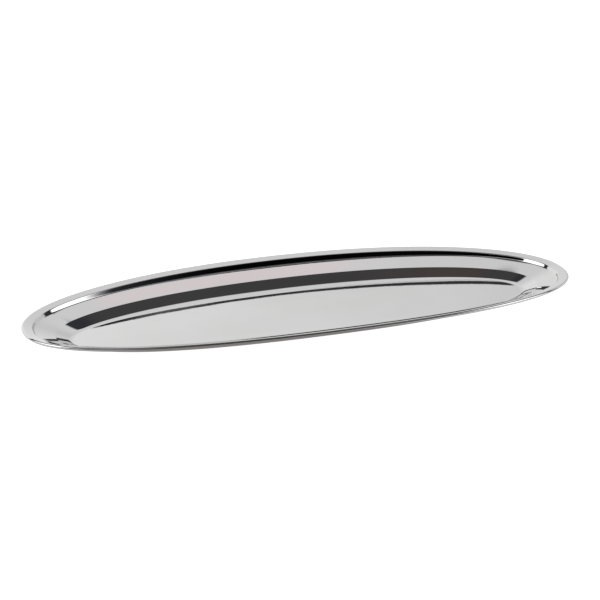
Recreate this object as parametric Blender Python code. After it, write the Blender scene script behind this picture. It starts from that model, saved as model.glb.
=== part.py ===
"""Oval serving platter, pressed from one steel sheet, with a wired rolled edge.

All lengths are in metres. The origin is under the middle of the flat floor,
+X runs along the length, +Y across the width and +Z points up.

The sheet is swept round the oval as one section: flat floor, a faint rise
beside the long walls, sloping wall, wide flange, step, narrow lip and an edge
curled round a steel wire. The rim stands higher beside the long sides than at
the two ends.
"""

import math

import bpy

# Plan of the outer edge.
LENGTH = 0.600
WIDTH = 0.240
PLAN_EXPONENT = 2.19  # 2 is a true ellipse; slightly more makes a fuller oval
PLAN_STEPS = 72

# Sheet and rolled edge.
SHEET = 0.0009
BEAD_RADIUS = 0.0019
WIRE_RADIUS = 0.0007
CURL_SWEEP = math.radians(256.0)  # leaves a narrow slot under the lip
CURL_STEPS = 10
WIRE_STEPS = 8

# Section corners: inset from the outer edge, measured level.
LIP_INSET = 0.0109
STEP_INSET = 0.0128
FLANGE_INSET = 0.0340
WALL_INSET = 0.0500
FOOT_INSET = 0.0800  # the floor is flat inside this line
LIP_SLOPE = math.radians(12.0)

# Heights above the top of the floor, beside the long sides and at the ends.
BEAD_HEIGHT_SIDE = 0.0236
BEAD_HEIGHT_END = 0.0161
STEP_HEIGHT_SIDE = 0.0174
STEP_HEIGHT_END = 0.0129
FLANGE_HEIGHT_SIDE = 0.0107
FLANGE_HEIGHT_END = 0.0062
FOOT_RISE = 0.0009  # at the foot of the long walls, fading to nothing at the ends

# Bend radii on the upper face of the sheet, with the points along each bend.
LIP_BEND = 0.0012
LIP_BEND_STEPS = 3
STEP_BEND = 0.0020
STEP_BEND_STEPS = 3
FLANGE_BEND = 0.0040
FLANGE_BEND_STEPS = 2
WALL_BEND = 0.0180
WALL_BEND_STEPS = 4

SMOOTH_LIMIT = math.radians(40.0)


def clear_scene():
    """Remove every object, so that repeated runs give the same result."""
    for obj in list(bpy.data.objects):
        bpy.data.objects.remove(obj, do_unlink=True)


def make_material(name, colour, roughness):
    """A plain metal."""
    material = bpy.data.materials.new(name)
    material.use_nodes = True
    shader = material.node_tree.nodes["Principled BSDF"]
    shader.inputs["Base Color"].default_value = (*colour, 1.0)
    shader.inputs["Metallic"].default_value = 1.0
    shader.inputs["Roughness"].default_value = roughness
    material.diffuse_color = (*colour, 1.0)
    return material


def plan_direction(index):
    """The two plan factors of one position round the oval."""
    angle = 2.0 * math.pi * index / PLAN_STEPS
    along = math.cos(angle)
    across = math.sin(angle)
    power = 2.0 / PLAN_EXPONENT
    x_factor = math.copysign(abs(along) ** power, along)
    y_factor = math.copysign(abs(across) ** power, across)
    return x_factor, y_factor


def plan_point(index, inset, height):
    """A point at one position round the oval, moved in from the outer edge."""
    x_factor, y_factor = plan_direction(index)
    x = (LENGTH / 2.0 - inset) * x_factor
    y = (WIDTH / 2.0 - inset) * y_factor
    return x, y, height


def rim_height(index, side, end):
    """A height that falls from the long sides to the two ends."""
    x_factor, _ = plan_direction(index)
    return side + (end - side) * x_factor * x_factor


def foot_rise(index):
    """How far the floor has risen where it meets the wall."""
    x_factor, _ = plan_direction(index)
    return FOOT_RISE * (1.0 - x_factor * x_factor) ** 3


def unit(start, finish):
    """The direction from one section point to another."""
    du = finish[0] - start[0]
    dz = finish[1] - start[1]
    length = math.hypot(du, dz)
    return du / length, dz / length


def bend(before, corner, after, radius, steps):
    """Upper and lower points of a rounded corner, walking outward."""
    into = unit(before, corner)
    out = unit(corner, after)
    cross = into[0] * out[1] - into[1] * out[0]
    dot = into[0] * out[0] + into[1] * out[1]
    turn = math.atan2(cross, dot)
    side = 1.0 if turn > 0.0 else -1.0
    trim = radius * math.tan(abs(turn) / 2.0)
    start = (corner[0] - into[0] * trim, corner[1] - into[1] * trim)
    centre = (start[0] - into[1] * side * radius, start[1] + into[0] * side * radius)
    lower_radius = radius + side * SHEET
    upper = []
    lower = []
    for step in range(steps + 1):
        angle = turn * step / steps
        arm = (start[0] - centre[0], start[1] - centre[1])
        turned = (
            (arm[0] * math.cos(angle) - arm[1] * math.sin(angle)) / radius,
            (arm[0] * math.sin(angle) + arm[1] * math.cos(angle)) / radius,
        )
        upper.append((centre[0] + turned[0] * radius, centre[1] + turned[1] * radius))
        lower.append(
            (centre[0] + turned[0] * lower_radius, centre[1] + turned[1] * lower_radius)
        )
    return upper, lower


def sheet_section(index):
    """The sheet section at one position, from the top of the floor round to its underside.

    Section points are written as outward distance (minus the inset) and height.
    """
    floor_top = SHEET
    bead_z = floor_top + rim_height(index, BEAD_HEIGHT_SIDE, BEAD_HEIGHT_END)
    step_z = floor_top + rim_height(index, STEP_HEIGHT_SIDE, STEP_HEIGHT_END)
    flange_z = floor_top + rim_height(index, FLANGE_HEIGHT_SIDE, FLANGE_HEIGHT_END)

    bead = (-BEAD_RADIUS, bead_z)
    start_angle = math.pi / 2.0 + LIP_SLOPE
    lip_top = (
        bead[0] + BEAD_RADIUS * math.cos(start_angle),
        bead[1] + BEAD_RADIUS * math.sin(start_angle),
    )
    lip_run = LIP_INSET + lip_top[0]
    lip = (-LIP_INSET, lip_top[1] - lip_run * math.tan(LIP_SLOPE))
    step = (-STEP_INSET, step_z)
    flange = (-FLANGE_INSET, flange_z)
    wall = (-WALL_INSET, floor_top + foot_rise(index))
    foot = (-FOOT_INSET, floor_top)

    upper = [foot]
    lower = [(-FOOT_INSET, 0.0)]
    for before, corner, after, radius, steps in (
        (foot, wall, flange, WALL_BEND, WALL_BEND_STEPS),
        (wall, flange, step, FLANGE_BEND, FLANGE_BEND_STEPS),
        (flange, step, lip, STEP_BEND, STEP_BEND_STEPS),
        (step, lip, lip_top, LIP_BEND, LIP_BEND_STEPS),
    ):
        bend_upper, bend_lower = bend(before, corner, after, radius, steps)
        upper.extend(bend_upper)
        lower.extend(bend_lower)

    # The curl runs outward over the top and back in under the lip.
    for step_number in range(CURL_STEPS + 1):
        angle = start_angle - CURL_SWEEP * step_number / CURL_STEPS
        across = math.cos(angle)
        rise = math.sin(angle)
        inner = BEAD_RADIUS - SHEET
        upper.append((bead[0] + across * BEAD_RADIUS, bead[1] + rise * BEAD_RADIUS))
        lower.append((bead[0] + across * inner, bead[1] + rise * inner))
    return upper + lower[::-1]


def wire_section(index):
    """The round wire inside the curl at one position."""
    bead_z = SHEET + rim_height(index, BEAD_HEIGHT_SIDE, BEAD_HEIGHT_END)
    points = []
    for step in range(WIRE_STEPS):
        angle = -2.0 * math.pi * step / WIRE_STEPS
        u = -BEAD_RADIUS + WIRE_RADIUS * math.cos(angle)
        z = bead_z + WIRE_RADIUS * math.sin(angle)
        points.append((u, z))
    return points


def swept_mesh(name, section_at, closed):
    """Sweep a section round the oval; an open section is capped above and below."""
    vertices = []
    for index in range(PLAN_STEPS):
        section = section_at(index)
        for u, z in section:
            vertices.append(plan_point(index, -u, z))
    count = len(section)
    faces = []
    for index in range(PLAN_STEPS):
        here = index * count
        following = (index + 1) % PLAN_STEPS * count
        spans = count if closed else count - 1
        for point in range(spans):
            other = (point + 1) % count
            faces.append((here + point, here + other, following + other, following + point))
    if not closed:
        faces.append([index * count for index in range(PLAN_STEPS)])
        faces.append([index * count + count - 1 for index in reversed(range(PLAN_STEPS))])
    mesh = bpy.data.meshes.new(name)
    mesh.from_pydata(vertices, [], faces)
    mesh.validate()
    mesh.update()
    return mesh


def add_piece(name, mesh, material):
    """Link a mesh as one named object with its own material."""
    for polygon in mesh.polygons:
        polygon.use_smooth = True
    mesh.set_sharp_from_angle(angle=SMOOTH_LIMIT)
    mesh.materials.append(material)
    obj = bpy.data.objects.new(name, mesh)
    bpy.context.scene.collection.objects.link(obj)
    return obj


def build():
    """Make the pressed sheet and the wire inside its rolled edge."""
    clear_scene()
    steel = make_material("polished_steel", (0.66, 0.66, 0.67), 0.14)
    wire_steel = make_material("drawn_wire_steel", (0.50, 0.50, 0.51), 0.35)
    add_piece("platter_body", swept_mesh("platter_body", sheet_section, False), steel)
    add_piece("rim_wire", swept_mesh("rim_wire", wire_section, True), wire_steel)


build()
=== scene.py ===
"""Looks for the oval serving platter: fine pressed sheet, polished steel, pale studio.

All lengths are in metres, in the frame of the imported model: +X along the
platter, +Y across it, +Z up, with the floor at zero.
"""

import math

import bpy
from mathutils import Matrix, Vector


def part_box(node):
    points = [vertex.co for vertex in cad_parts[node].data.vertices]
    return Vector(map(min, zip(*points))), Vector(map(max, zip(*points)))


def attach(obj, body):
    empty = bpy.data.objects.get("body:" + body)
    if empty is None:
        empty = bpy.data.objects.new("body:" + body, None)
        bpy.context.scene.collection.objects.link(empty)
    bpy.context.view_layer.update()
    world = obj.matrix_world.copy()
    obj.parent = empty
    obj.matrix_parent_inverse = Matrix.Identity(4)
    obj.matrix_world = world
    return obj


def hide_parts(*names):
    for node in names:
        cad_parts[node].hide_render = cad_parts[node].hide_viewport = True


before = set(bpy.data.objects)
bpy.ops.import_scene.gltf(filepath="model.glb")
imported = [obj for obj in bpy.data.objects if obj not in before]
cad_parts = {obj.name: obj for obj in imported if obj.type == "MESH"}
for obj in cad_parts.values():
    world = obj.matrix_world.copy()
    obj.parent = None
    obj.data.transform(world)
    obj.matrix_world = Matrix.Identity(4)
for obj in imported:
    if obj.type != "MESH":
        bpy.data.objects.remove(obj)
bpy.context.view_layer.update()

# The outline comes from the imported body; the section repeats the CAD's values.
BODY_LOW, BODY_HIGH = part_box("platter_body")
LENGTH = round(BODY_HIGH[0] - BODY_LOW[0], 3)
WIDTH = round(BODY_HIGH[1] - BODY_LOW[1], 3)
PLAN_EXPONENT = 2.19
PLAN_STEPS = 480

SHEET = 0.0009
BEAD_RADIUS = 0.0019
CURL_SWEEP = math.radians(256.0)
LIP_SLOPE = math.radians(12.0)

LIP_INSET = 0.0109
STEP_INSET = 0.0128
FLANGE_INSET = 0.0340
WALL_INSET = 0.0500
FOOT_INSET = 0.0800

BEAD_HEIGHT_SIDE = 0.0236
BEAD_HEIGHT_END = 0.0161
STEP_HEIGHT_SIDE = 0.0174
STEP_HEIGHT_END = 0.0129
FLANGE_HEIGHT_SIDE = 0.0107
FLANGE_HEIGHT_END = 0.0062
FOOT_RISE = 0.0009

# Bend radius and number of points of each bend, from the wall out to the lip.
WALL_BEND = (0.0180, 14)
FLANGE_BEND = (0.0040, 8)
STEP_BEND = (0.0020, 7)
LIP_BEND = (0.0012, 7)
CURL_STEPS = 26
FLOOR_RINGS = (0.97, 0.9, 0.75, 0.5, 0.25)  # sizes, as parts of the flat floor
SMOOTH_LIMIT = math.radians(40.0)

# The studio floor: a round plate just under the platter.
STUDIO_FLOOR_RADIUS = 12.0
STUDIO_FLOOR_STEPS = 96
STUDIO_FLOOR_GAP = 0.0003

# The camera, from the middle of the dish at the height of the rim.
CAMERA_ELEVATION = math.radians(20.24)
CAMERA_HEADING = math.radians(19.38)
CAMERA_DISTANCE = 2.0998
CAMERA_LENS = 120.0
SENSOR_WIDTH = 36.0
AIM_RIGHT = -0.0046
AIM_UP = -0.0080


# ---------------------------------------------------------------- node helpers


class Nodes:
    """Short calls for building a shader tree."""

    def __init__(self, tree):
        self.tree = tree

    def add(self, kind, **settings):
        node = self.tree.nodes.new(kind)
        for name, value in settings.items():
            setattr(node, name, value)
        return node

    def link(self, source, target):
        self.tree.links.new(source, target)

    def feed(self, socket, value):
        """Link a socket, or set a plain value."""
        if isinstance(value, bpy.types.NodeSocket):
            self.link(value, socket)
        else:
            socket.default_value = value

    def math(self, operation, first, second=0.0):
        node = self.add("ShaderNodeMath", operation=operation)
        self.feed(node.inputs[0], first)
        self.feed(node.inputs[1], second)
        return node.outputs[0]

    def remap(self, value, low, high, out_low, out_high, smooth=True):
        node = self.add("ShaderNodeMapRange", clamp=True)
        node.interpolation_type = "SMOOTHSTEP" if smooth else "LINEAR"
        self.feed(node.inputs["Value"], value)
        node.inputs["From Min"].default_value = low
        node.inputs["From Max"].default_value = high
        node.inputs["To Min"].default_value = out_low
        node.inputs["To Max"].default_value = out_high
        return node.outputs["Result"]

    def dot(self, vector, fixed):
        """How far a vector reaches along a fixed one."""
        node = self.add("ShaderNodeVectorMath", operation="DOT_PRODUCT")
        self.link(vector, node.inputs[0])
        node.inputs[1].default_value = fixed
        return node.outputs["Value"]

    def noise(self, vector, scale, detail):
        node = self.add("ShaderNodeTexNoise")
        self.feed(node.inputs["Vector"], vector)
        node.inputs["Scale"].default_value = scale
        node.inputs["Detail"].default_value = detail
        return node.outputs["Fac"]

    def stretch(self, vector, scale):
        node = self.add("ShaderNodeMapping")
        self.feed(node.inputs["Vector"], vector)
        node.inputs["Scale"].default_value = scale
        return node.outputs["Vector"]

    def mix_colour(self, factor, first, second):
        node = self.add("ShaderNodeMix", data_type="RGBA")
        self.feed(node.inputs["Factor"], factor)
        self.feed(node.inputs["A"], first)
        self.feed(node.inputs["B"], second)
        return node.outputs["Result"]

    def bump(self, height, strength, distance):
        node = self.add("ShaderNodeBump")
        self.link(height, node.inputs["Height"])
        node.inputs["Strength"].default_value = strength
        node.inputs["Distance"].default_value = distance
        return node


# ------------------------------------------------------------------- materials


def start_material(name):
    """An empty Principled material with its node helper and shader."""
    material = bpy.data.materials.new(name)
    material.use_nodes = True
    nodes = Nodes(material.node_tree)
    shader = material.node_tree.nodes["Principled BSDF"]
    return material, nodes, shader


def polished_steel():
    """Mirror-polished stainless sheet with polishing lines, scratches and press waves."""
    material, nodes, shader = start_material("polished_steel_sheet")
    place = nodes.add("ShaderNodeTexCoord").outputs["Object"]

    lines = nodes.noise(nodes.stretch(place, (3.0, 260.0, 60.0)), 6.0, detail=4.0)
    cloud = nodes.noise(place, 9.0, detail=3.0)
    scratches = nodes.noise(nodes.stretch(place, (40.0, 900.0, 300.0)), 3.0, detail=6.0)
    waves = nodes.noise(nodes.stretch(place, (16.0, 26.0, 26.0)), 1.0, detail=1.0)

    tone = nodes.mix_colour(
        nodes.remap(cloud, 0.3, 0.7, 0.0, 1.0),
        (0.655, 0.652, 0.650, 1.0),
        (0.685, 0.684, 0.684, 1.0),
    )
    nodes.link(tone, shader.inputs["Base Color"])
    shader.inputs["Metallic"].default_value = 1.0

    gloss = nodes.remap(lines, 0.3, 0.7, 0.015, 0.035)
    worn = nodes.remap(scratches, 0.62, 0.72, 0.0, 0.05)
    nodes.link(nodes.math("ADD", gloss, worn), shader.inputs["Roughness"])

    press_waves = nodes.bump(waves, 1.0, 0.00012)
    fine_marks = nodes.bump(nodes.math("ADD", lines, scratches), 0.03, 0.0001)
    nodes.link(press_waves.outputs["Normal"], fine_marks.inputs["Normal"])
    nodes.link(fine_marks.outputs["Normal"], shader.inputs["Normal"])
    return material


def drawn_wire():
    """Dull drawn wire with lengthwise die marks."""
    material, nodes, shader = start_material("drawn_wire_steel")
    place = nodes.add("ShaderNodeTexCoord").outputs["Object"]
    marks = nodes.noise(nodes.stretch(place, (20.0, 20.0, 900.0)), 4.0, detail=4.0)
    tone = nodes.mix_colour(marks, (0.42, 0.42, 0.43, 1.0), (0.54, 0.54, 0.55, 1.0))
    nodes.link(tone, shader.inputs["Base Color"])
    shader.inputs["Metallic"].default_value = 1.0
    nodes.link(nodes.remap(marks, 0.3, 0.7, 0.28, 0.42), shader.inputs["Roughness"])
    return material


def pale_floor():
    """Even white studio floor, lit through from below so that shadows stay faint.

    Only to glossy rays it shows a painted reflection instead: a grey table top, with painted
    shade darkest along a line that runs away from the camera under the platter, lighter to the
    left and right of it.
    """
    material, nodes, shader = start_material("studio_floor_white")
    place = nodes.add("ShaderNodeTexCoord").outputs["Object"]
    grain = nodes.noise(place, 2.0, detail=2.0)
    tone = nodes.mix_colour(grain, (0.86, 0.86, 0.86, 1.0), (0.90, 0.90, 0.90, 1.0))
    nodes.link(tone, shader.inputs["Base Color"])
    shader.inputs["Roughness"].default_value = 0.9
    shader.inputs["Specular IOR Level"].default_value = 0.0
    shader.inputs["Emission Color"].default_value = (1.0, 1.0, 1.0, 1.0)
    shader.inputs["Emission Strength"].default_value = 0.93

    # Painted reflection and painted shade: only glossy rays see this grey, darkest along a line
    # under the platter, in place of the white floor.
    rightward = (math.cos(CAMERA_HEADING), -math.sin(CAMERA_HEADING), 0.0)
    darkest = -0.03
    across = nodes.math("SUBTRACT", nodes.dot(place, rightward), darkest)
    lighter = nodes.remap(nodes.math("ABSOLUTE", across), 0.10, 0.30, 0.0, 1.0)
    painted_reflection = nodes.add("ShaderNodeEmission")
    grey = nodes.mix_colour(lighter, (0.30, 0.28, 0.28, 1.0), (0.85, 0.85, 0.86, 1.0))
    nodes.link(grey, painted_reflection.inputs["Color"])
    choice = nodes.add("ShaderNodeMixShader")
    nodes.link(nodes.add("ShaderNodeLightPath").outputs["Is Glossy Ray"], choice.inputs["Fac"])
    nodes.link(shader.outputs["BSDF"], choice.inputs[1])
    nodes.link(painted_reflection.outputs["Emission"], choice.inputs[2])
    output = material.node_tree.nodes["Material Output"]
    nodes.link(choice.outputs["Shader"], output.inputs["Surface"])
    return material


# -------------------------------------------------------------- platter's sheet


def plan_direction(index):
    """The two plan factors of one position round the oval."""
    angle = 2.0 * math.pi * index / PLAN_STEPS
    along = math.cos(angle)
    across = math.sin(angle)
    power = 2.0 / PLAN_EXPONENT
    x_factor = math.copysign(abs(along) ** power, along)
    y_factor = math.copysign(abs(across) ** power, across)
    return x_factor, y_factor


def rim_height(index, side, end):
    """A height that falls from the long sides to the two ends."""
    x_factor, _ = plan_direction(index)
    return side + (end - side) * x_factor * x_factor


def unit(start, finish):
    """The direction from one section point to another."""
    du = finish[0] - start[0]
    dz = finish[1] - start[1]
    length = math.hypot(du, dz)
    return du / length, dz / length


def bend(before, corner, after, radius, steps):
    """Upper and lower points of a rounded corner, walking outward."""
    into = unit(before, corner)
    out = unit(corner, after)
    cross = into[0] * out[1] - into[1] * out[0]
    dot = into[0] * out[0] + into[1] * out[1]
    turn = math.atan2(cross, dot)
    side = math.copysign(1.0, turn)
    trim = radius * math.tan(abs(turn) / 2.0)
    start = (corner[0] - into[0] * trim, corner[1] - into[1] * trim)
    centre = (start[0] - into[1] * side * radius, start[1] + into[0] * side * radius)
    arm = ((start[0] - centre[0]) / radius, (start[1] - centre[1]) / radius)
    upper = []
    lower = []
    for step in range(steps + 1):
        angle = turn * step / steps
        u = arm[0] * math.cos(angle) - arm[1] * math.sin(angle)
        z = arm[0] * math.sin(angle) + arm[1] * math.cos(angle)
        upper.append((centre[0] + u * radius, centre[1] + z * radius))
        under = radius + side * SHEET
        lower.append((centre[0] + u * under, centre[1] + z * under))
    return upper, lower


def straight(start, finish, steps):
    """Points between two section points, without the ends."""
    points = []
    for step in range(1, steps):
        part = step / steps
        u = start[0] + (finish[0] - start[0]) * part
        z = start[1] + (finish[1] - start[1]) * part
        points.append((u, z))
    return points


def sheet_section(index):
    """The sheet section at one position, from the floor's top edge round to its underside."""
    x_factor, _ = plan_direction(index)
    bead_z = SHEET + rim_height(index, BEAD_HEIGHT_SIDE, BEAD_HEIGHT_END)
    step_z = SHEET + rim_height(index, STEP_HEIGHT_SIDE, STEP_HEIGHT_END)
    flange_z = SHEET + rim_height(index, FLANGE_HEIGHT_SIDE, FLANGE_HEIGHT_END)

    start_angle = math.pi / 2.0 + LIP_SLOPE
    lip_top_u = -BEAD_RADIUS + BEAD_RADIUS * math.cos(start_angle)
    lip_top_z = bead_z + BEAD_RADIUS * math.sin(start_angle)
    lip_z = lip_top_z - (LIP_INSET + lip_top_u) * math.tan(LIP_SLOPE)
    foot = (-FOOT_INSET, SHEET)
    wall = (-WALL_INSET, SHEET + FOOT_RISE * (1.0 - x_factor * x_factor) ** 3)
    flange = (-FLANGE_INSET, flange_z)
    step = (-STEP_INSET, step_z)
    lip = (-LIP_INSET, lip_z)
    lip_top = (lip_top_u, lip_top_z)

    upper = [foot]
    lower = [(foot[0], 0.0)]
    run_fill = 6
    for before, corner, after, (radius, steps), fill in (
        (foot, wall, flange, WALL_BEND, 4),
        (wall, flange, step, FLANGE_BEND, 8),
        (flange, step, lip, STEP_BEND, 4),
        (step, lip, lip_top, LIP_BEND, 5),
    ):
        bend_upper, bend_lower = bend(before, corner, after, radius, steps)
        upper.extend(straight(upper[-1], bend_upper[0], run_fill))
        lower.extend(straight(lower[-1], bend_lower[0], run_fill))
        upper.extend(bend_upper)
        lower.extend(bend_lower)
        run_fill = fill

    inner = BEAD_RADIUS - SHEET
    for step_number in range(CURL_STEPS + 1):
        angle = start_angle - CURL_SWEEP * step_number / CURL_STEPS
        across = math.cos(angle)
        rise = math.sin(angle)
        upper_point = (-BEAD_RADIUS + across * BEAD_RADIUS, bead_z + rise * BEAD_RADIUS)
        lower_point = (-BEAD_RADIUS + across * inner, bead_z + rise * inner)
        if step_number == 0:
            upper.extend(straight(upper[-1], upper_point, run_fill))
            lower.extend(straight(lower[-1], lower_point, run_fill))
        upper.append(upper_point)
        lower.append(lower_point)
    return upper + lower[::-1]


def floor_rings(edge, height):
    """Rings of points from the edge of the flat floor towards its middle."""
    return [[(x * part, y * part, height) for x, y, _ in edge] for part in FLOOR_RINGS]


def pressed_sheet():
    """The whole sheet as one closed mesh, fine enough for clean reflections."""
    loops = []
    for index in range(PLAN_STEPS):
        x_factor, y_factor = plan_direction(index)
        section = sheet_section(index)
        loops.append(
            [((LENGTH / 2.0 + u) * x_factor, (WIDTH / 2.0 + u) * y_factor, z) for u, z in section]
        )
    rings = [list(ring) for ring in zip(*loops)]
    top = floor_rings(rings[0], SHEET)
    under = floor_rings(rings[-1], 0.0)
    rings = top[::-1] + rings + under

    vertices = [point for ring in rings for point in ring]
    faces = []
    for ring in range(len(rings) - 1):
        for index in range(PLAN_STEPS):
            following = (index + 1) % PLAN_STEPS
            here = ring * PLAN_STEPS
            outward = here + PLAN_STEPS
            faces.append((here + index, outward + index, outward + following, here + following))
    middle_top = len(vertices)
    middle_under = middle_top + 1
    vertices.append((0.0, 0.0, SHEET))
    vertices.append((0.0, 0.0, 0.0))
    last = (len(rings) - 1) * PLAN_STEPS
    for index in range(PLAN_STEPS):
        following = (index + 1) % PLAN_STEPS
        faces.append((middle_top, index, following))
        faces.append((middle_under, last + following, last + index))

    mesh = bpy.data.meshes.new("pressed_sheet")
    mesh.from_pydata(vertices, [], faces)
    mesh.validate()
    mesh.shade_smooth()
    mesh.set_sharp_from_angle(angle=SMOOTH_LIMIT)
    sheet = bpy.data.objects.new("pressed_sheet", mesh)
    bpy.context.scene.collection.objects.link(sheet)
    return sheet


# ---------------------------------------------------------------------- studio


def add_floor():
    """A wide round pale floor at the height that the platter stands on."""
    corners = []
    for index in range(STUDIO_FLOOR_STEPS):
        angle = 2.0 * math.pi * index / STUDIO_FLOOR_STEPS
        x = STUDIO_FLOOR_RADIUS * math.cos(angle)
        y = STUDIO_FLOOR_RADIUS * math.sin(angle)
        corners.append((x, y, 0.0))
    mesh = bpy.data.meshes.new("studio_floor")
    mesh.from_pydata(corners, [], [list(range(STUDIO_FLOOR_STEPS))])
    mesh.materials.append(pale_floor())
    floor = bpy.data.objects.new("studio_floor", mesh)
    floor.location.z = BODY_LOW[2] - STUDIO_FLOOR_GAP
    bpy.context.scene.collection.objects.link(floor)


def light_panel(nodes, azimuth, elevation, across, height, blur):
    """How much of a soft-edged light panel lies in a direction of the studio.

    across and height are (middle, half size) pairs in degrees.
    """
    soft = math.radians(blur)
    amount = None
    for angle, (middle, half) in ((azimuth, across), (elevation, height)):
        away = nodes.math("ABSOLUTE", nodes.math("SUBTRACT", angle, math.radians(middle)))
        edge = math.radians(half)
        part = nodes.remap(away, edge - soft, edge + soft, 1.0, 0.0)
        amount = part if amount is None else nodes.math("MULTIPLY", amount, part)
    return amount


def one_side(nodes, direction, away):
    """How much of the studio lies on the near side of a straight edge.

    away points across the edge as (right, forward, up), seen by the camera.
    """
    soft = math.radians(1.2)
    return nodes.remap(nodes.dot(direction, Vector(away).normalized()), -soft, soft, 1.0, 0.0)


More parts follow.
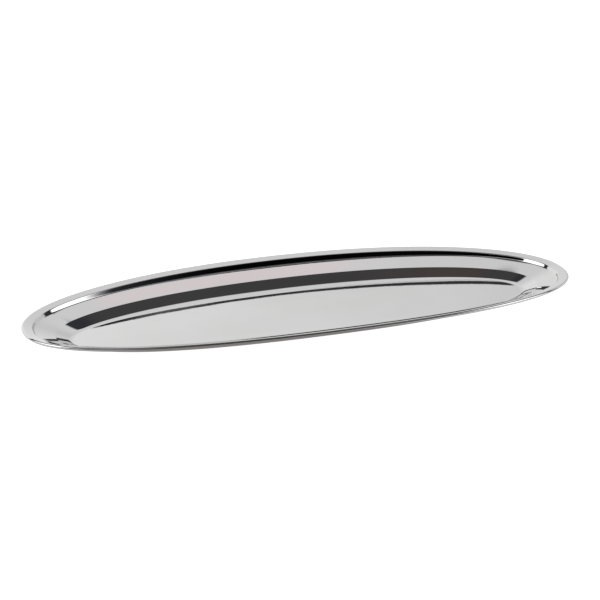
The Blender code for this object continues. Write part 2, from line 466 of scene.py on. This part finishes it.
def add_studio():
    """A dark room with a white backdrop and a soft light on each side.

    Azimuth is 0 straight ahead of the camera and grows to its right.
    """
    world = bpy.data.worlds.new("studio")
    bpy.context.scene.world = world
    world.use_nodes = True
    nodes = Nodes(world.node_tree)
    background = world.node_tree.nodes["Background"]

    turn = nodes.add("ShaderNodeMapping")
    nodes.link(nodes.add("ShaderNodeTexCoord").outputs["Generated"], turn.inputs["Vector"])
    turn.inputs["Rotation"].default_value = (0.0, 0.0, CAMERA_HEADING)
    direction = turn.outputs["Vector"]
    parts = nodes.add("ShaderNodeSeparateXYZ")
    nodes.link(direction, parts.inputs["Vector"])
    azimuth = nodes.math("ARCTAN2", parts.outputs["X"], parts.outputs["Y"])
    elevation = nodes.math("ARCSINE", parts.outputs["Z"])

    # The room is black behind the camera, brown overhead and bluish lower down.
    overhead = nodes.remap(elevation, math.radians(72.0), math.radians(78.0), 0.0, 1.0)
    room = nodes.mix_colour(overhead, (0.066, 0.064, 0.066, 1.0), (0.085, 0.068, 0.062, 1.0))
    sunk = nodes.remap(elevation, math.radians(50.0), math.radians(60.0), 1.0, 0.0)
    room = nodes.mix_colour(sunk, room, (0.040, 0.041, 0.047, 1.0))
    deep = light_panel(nodes, azimuth, elevation, (66.0, 9.0), (72.0, 12.0), 7.0)
    room = nodes.mix_colour(deep, room, (0.036, 0.033, 0.033, 1.0))
    off_ahead = nodes.math("ABSOLUTE", azimuth)
    behind = nodes.remap(off_ahead, math.radians(105.0), math.radians(140.0), 0.0, 1.0)
    low = nodes.remap(elevation, math.radians(35.0), math.radians(60.0), 1.0, 0.0)
    black = (0.002, 0.002, 0.002, 1.0)
    colour = nodes.mix_colour(nodes.math("MULTIPLY", behind, low), room, black)

    # A band of daylight high on the walls behind, weakest behind the right shoulder.
    off_band = nodes.math("ABSOLUTE", nodes.math("SUBTRACT", elevation, math.radians(44.0)))
    band = nodes.remap(off_band, math.radians(5.5), math.radians(11.5), 1.0, 0.0)
    past_side = nodes.remap(off_ahead, math.radians(100.3), math.radians(111.7), 0.0, 1.0)
    weakest = math.radians(147.0)
    facing = nodes.dot(direction, (math.sin(weakest), math.cos(weakest), 0.0))
    dim = nodes.remap(facing, 0.50, 0.67, 0.0, 1.0)
    daylight = nodes.mix_colour(dim, (0.78, 0.78, 0.79, 1.0), (0.13, 0.12, 0.12, 1.0))
    colour = nodes.mix_colour(nodes.math("MULTIPLY", band, past_side), colour, daylight)

    # A wide low white wall, with a taller slanted part ahead of the camera.
    wall = nodes.math(
        "MULTIPLY",
        one_side(nodes, direction, (0.0, -1.0, 1.0)),
        light_panel(nodes, azimuth, elevation, (0.0, 65.0), (0.0, 89.0), 1.5),
    )
    tall = nodes.math(
        "MULTIPLY",
        one_side(nodes, direction, (-2.0, -1.65, 1.0)),
        one_side(nodes, direction, (1.0, -0.037, -0.237)),
    )
    backdrop = nodes.math("MAXIMUM", wall, tall)

    # The white is brightest low on the left, and a little rosy where the flange mirrors it.
    sweep = nodes.remap(azimuth, math.radians(-12.0), math.radians(12.0), 0.0, 1.0, smooth=False)
    lower_white = nodes.mix_colour(sweep, (1.05, 1.05, 1.05, 1.0), (0.73, 0.73, 0.73, 1.0))
    rise = nodes.remap(elevation, math.radians(26.0), math.radians(40.0), 0.0, 1.0)
    white = nodes.mix_colour(rise, lower_white, (0.86, 0.855, 0.857, 1.0))
    rosy = light_panel(nodes, azimuth, elevation, (9.0, 3.0), (51.5, 1.6), 0.7)
    white = nodes.mix_colour(rosy, white, (0.92, 0.84, 0.855, 1.0))
    colour = nodes.mix_colour(backdrop, colour, white)

    # The two soft lights; the right one fades out behind the platter's left end.
    lamp_white = (1.9, 1.9, 1.92, 1.0)
    left_light = light_panel(nodes, azimuth, elevation, (-101.0, 25.0), (34.0, 22.0), 1.5)
    colour = nodes.mix_colour(left_light, colour, lamp_white)
    right_light = light_panel(nodes, azimuth, elevation, (97.0, 20.0), (25.0, 18.0), 1.5)
    fade = nodes.remap(azimuth, math.radians(103.5), math.radians(117.0), 1.0, 0.0, smooth=False)
    right_light = nodes.math("MULTIPLY", right_light, nodes.math("POWER", fade, 1.8))
    colour = nodes.mix_colour(right_light, colour, lamp_white)

    # Seen directly, past the edge of the floor, the studio is plain white.
    direct = nodes.add("ShaderNodeLightPath").outputs["Is Camera Ray"]
    colour = nodes.mix_colour(direct, colour, (0.98, 0.98, 0.98, 1.0))
    nodes.link(colour, background.inputs["Color"])
    background.inputs["Strength"].default_value = 1.0


def add_camera():
    """The camera, looking down across the platter, with a long lens."""
    forward = Vector(
        (
            math.sin(CAMERA_HEADING) * math.cos(CAMERA_ELEVATION),
            math.cos(CAMERA_HEADING) * math.cos(CAMERA_ELEVATION),
            -math.sin(CAMERA_ELEVATION),
        )
    )
    right = forward.cross(Vector((0.0, 0.0, 1.0))).normalized()
    up = right.cross(forward)
    rim_middle = Vector((0.0, 0.0, SHEET + BEAD_HEIGHT_SIDE))
    aim = rim_middle + right * AIM_RIGHT + up * AIM_UP
    data = bpy.data.cameras.new("camera")
    data.lens = CAMERA_LENS
    data.sensor_width = SENSOR_WIDTH
    camera = bpy.data.objects.new("camera", data)
    camera.location = aim - forward * CAMERA_DISTANCE
    camera.rotation_euler = forward.to_track_quat("-Z", "Y").to_euler()
    bpy.context.scene.collection.objects.link(camera)
    bpy.context.scene.camera = camera


# ----------------------------------------------------------------------- build

sheet = pressed_sheet()
sheet.data.materials.append(polished_steel())
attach(sheet, "root")
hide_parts("platter_body")

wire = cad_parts["rim_wire"]
wire_material = drawn_wire()
for wire_slot in wire.material_slots:
    wire_slot.material = wire_material

add_floor()
add_studio()
add_camera()
bpy.context.scene.view_settings.view_transform = "Standard"
